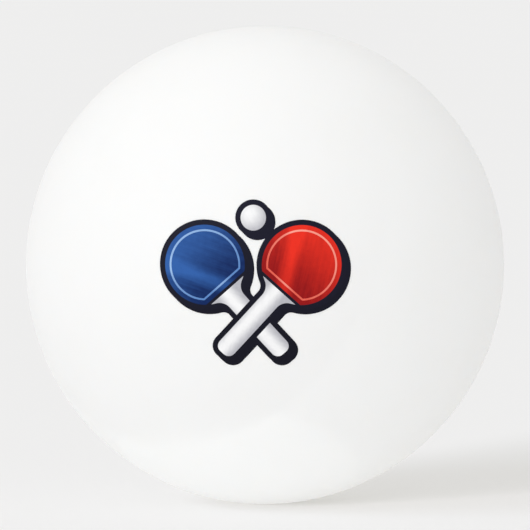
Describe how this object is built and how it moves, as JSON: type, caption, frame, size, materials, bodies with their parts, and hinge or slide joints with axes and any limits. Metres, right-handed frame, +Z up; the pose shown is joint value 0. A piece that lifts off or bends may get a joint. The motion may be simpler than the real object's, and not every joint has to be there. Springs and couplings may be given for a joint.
{
  "type": "table tennis ball",
  "caption": "Hollow 40 mm white plastic ball of two moulded half shells cemented edge to edge over an inner locating lip, with a small printed badge of crossed bats.",
  "frame": {"origin": "the ball's centre", "axes": "+Y from the printed half to the plain half, square to the seam; +Z up the printed badge; -Y is where the badge faces"},
  "size_m": [0.04, 0.04, 0.04],
  "materials": {
    "white_abs": "fine matte",
    "cement": "dried solvent cement",
    "navy_ink": "printed ink",
    "blue_ink": "printed ink",
    "light_blue_ink": "printed ink",
    "red_ink": "printed ink",
    "light_red_ink": "printed ink",
    "silver_ink": "printed ink"
  },
  "bodies": {
    "root": {"front_half_shell": "white_abs", "back_half_shell": "white_abs", "seam_cement": "cement", "ink_navy_keyline": "navy_ink", "ink_blue_rubber": "blue_ink", "ink_light_blue_line": "light_blue_ink", "ink_red_rubber": "red_ink", "ink_light_red_line": "light_red_ink", "ink_silver_handles": "silver_ink"}
  },
  "joints": []
}
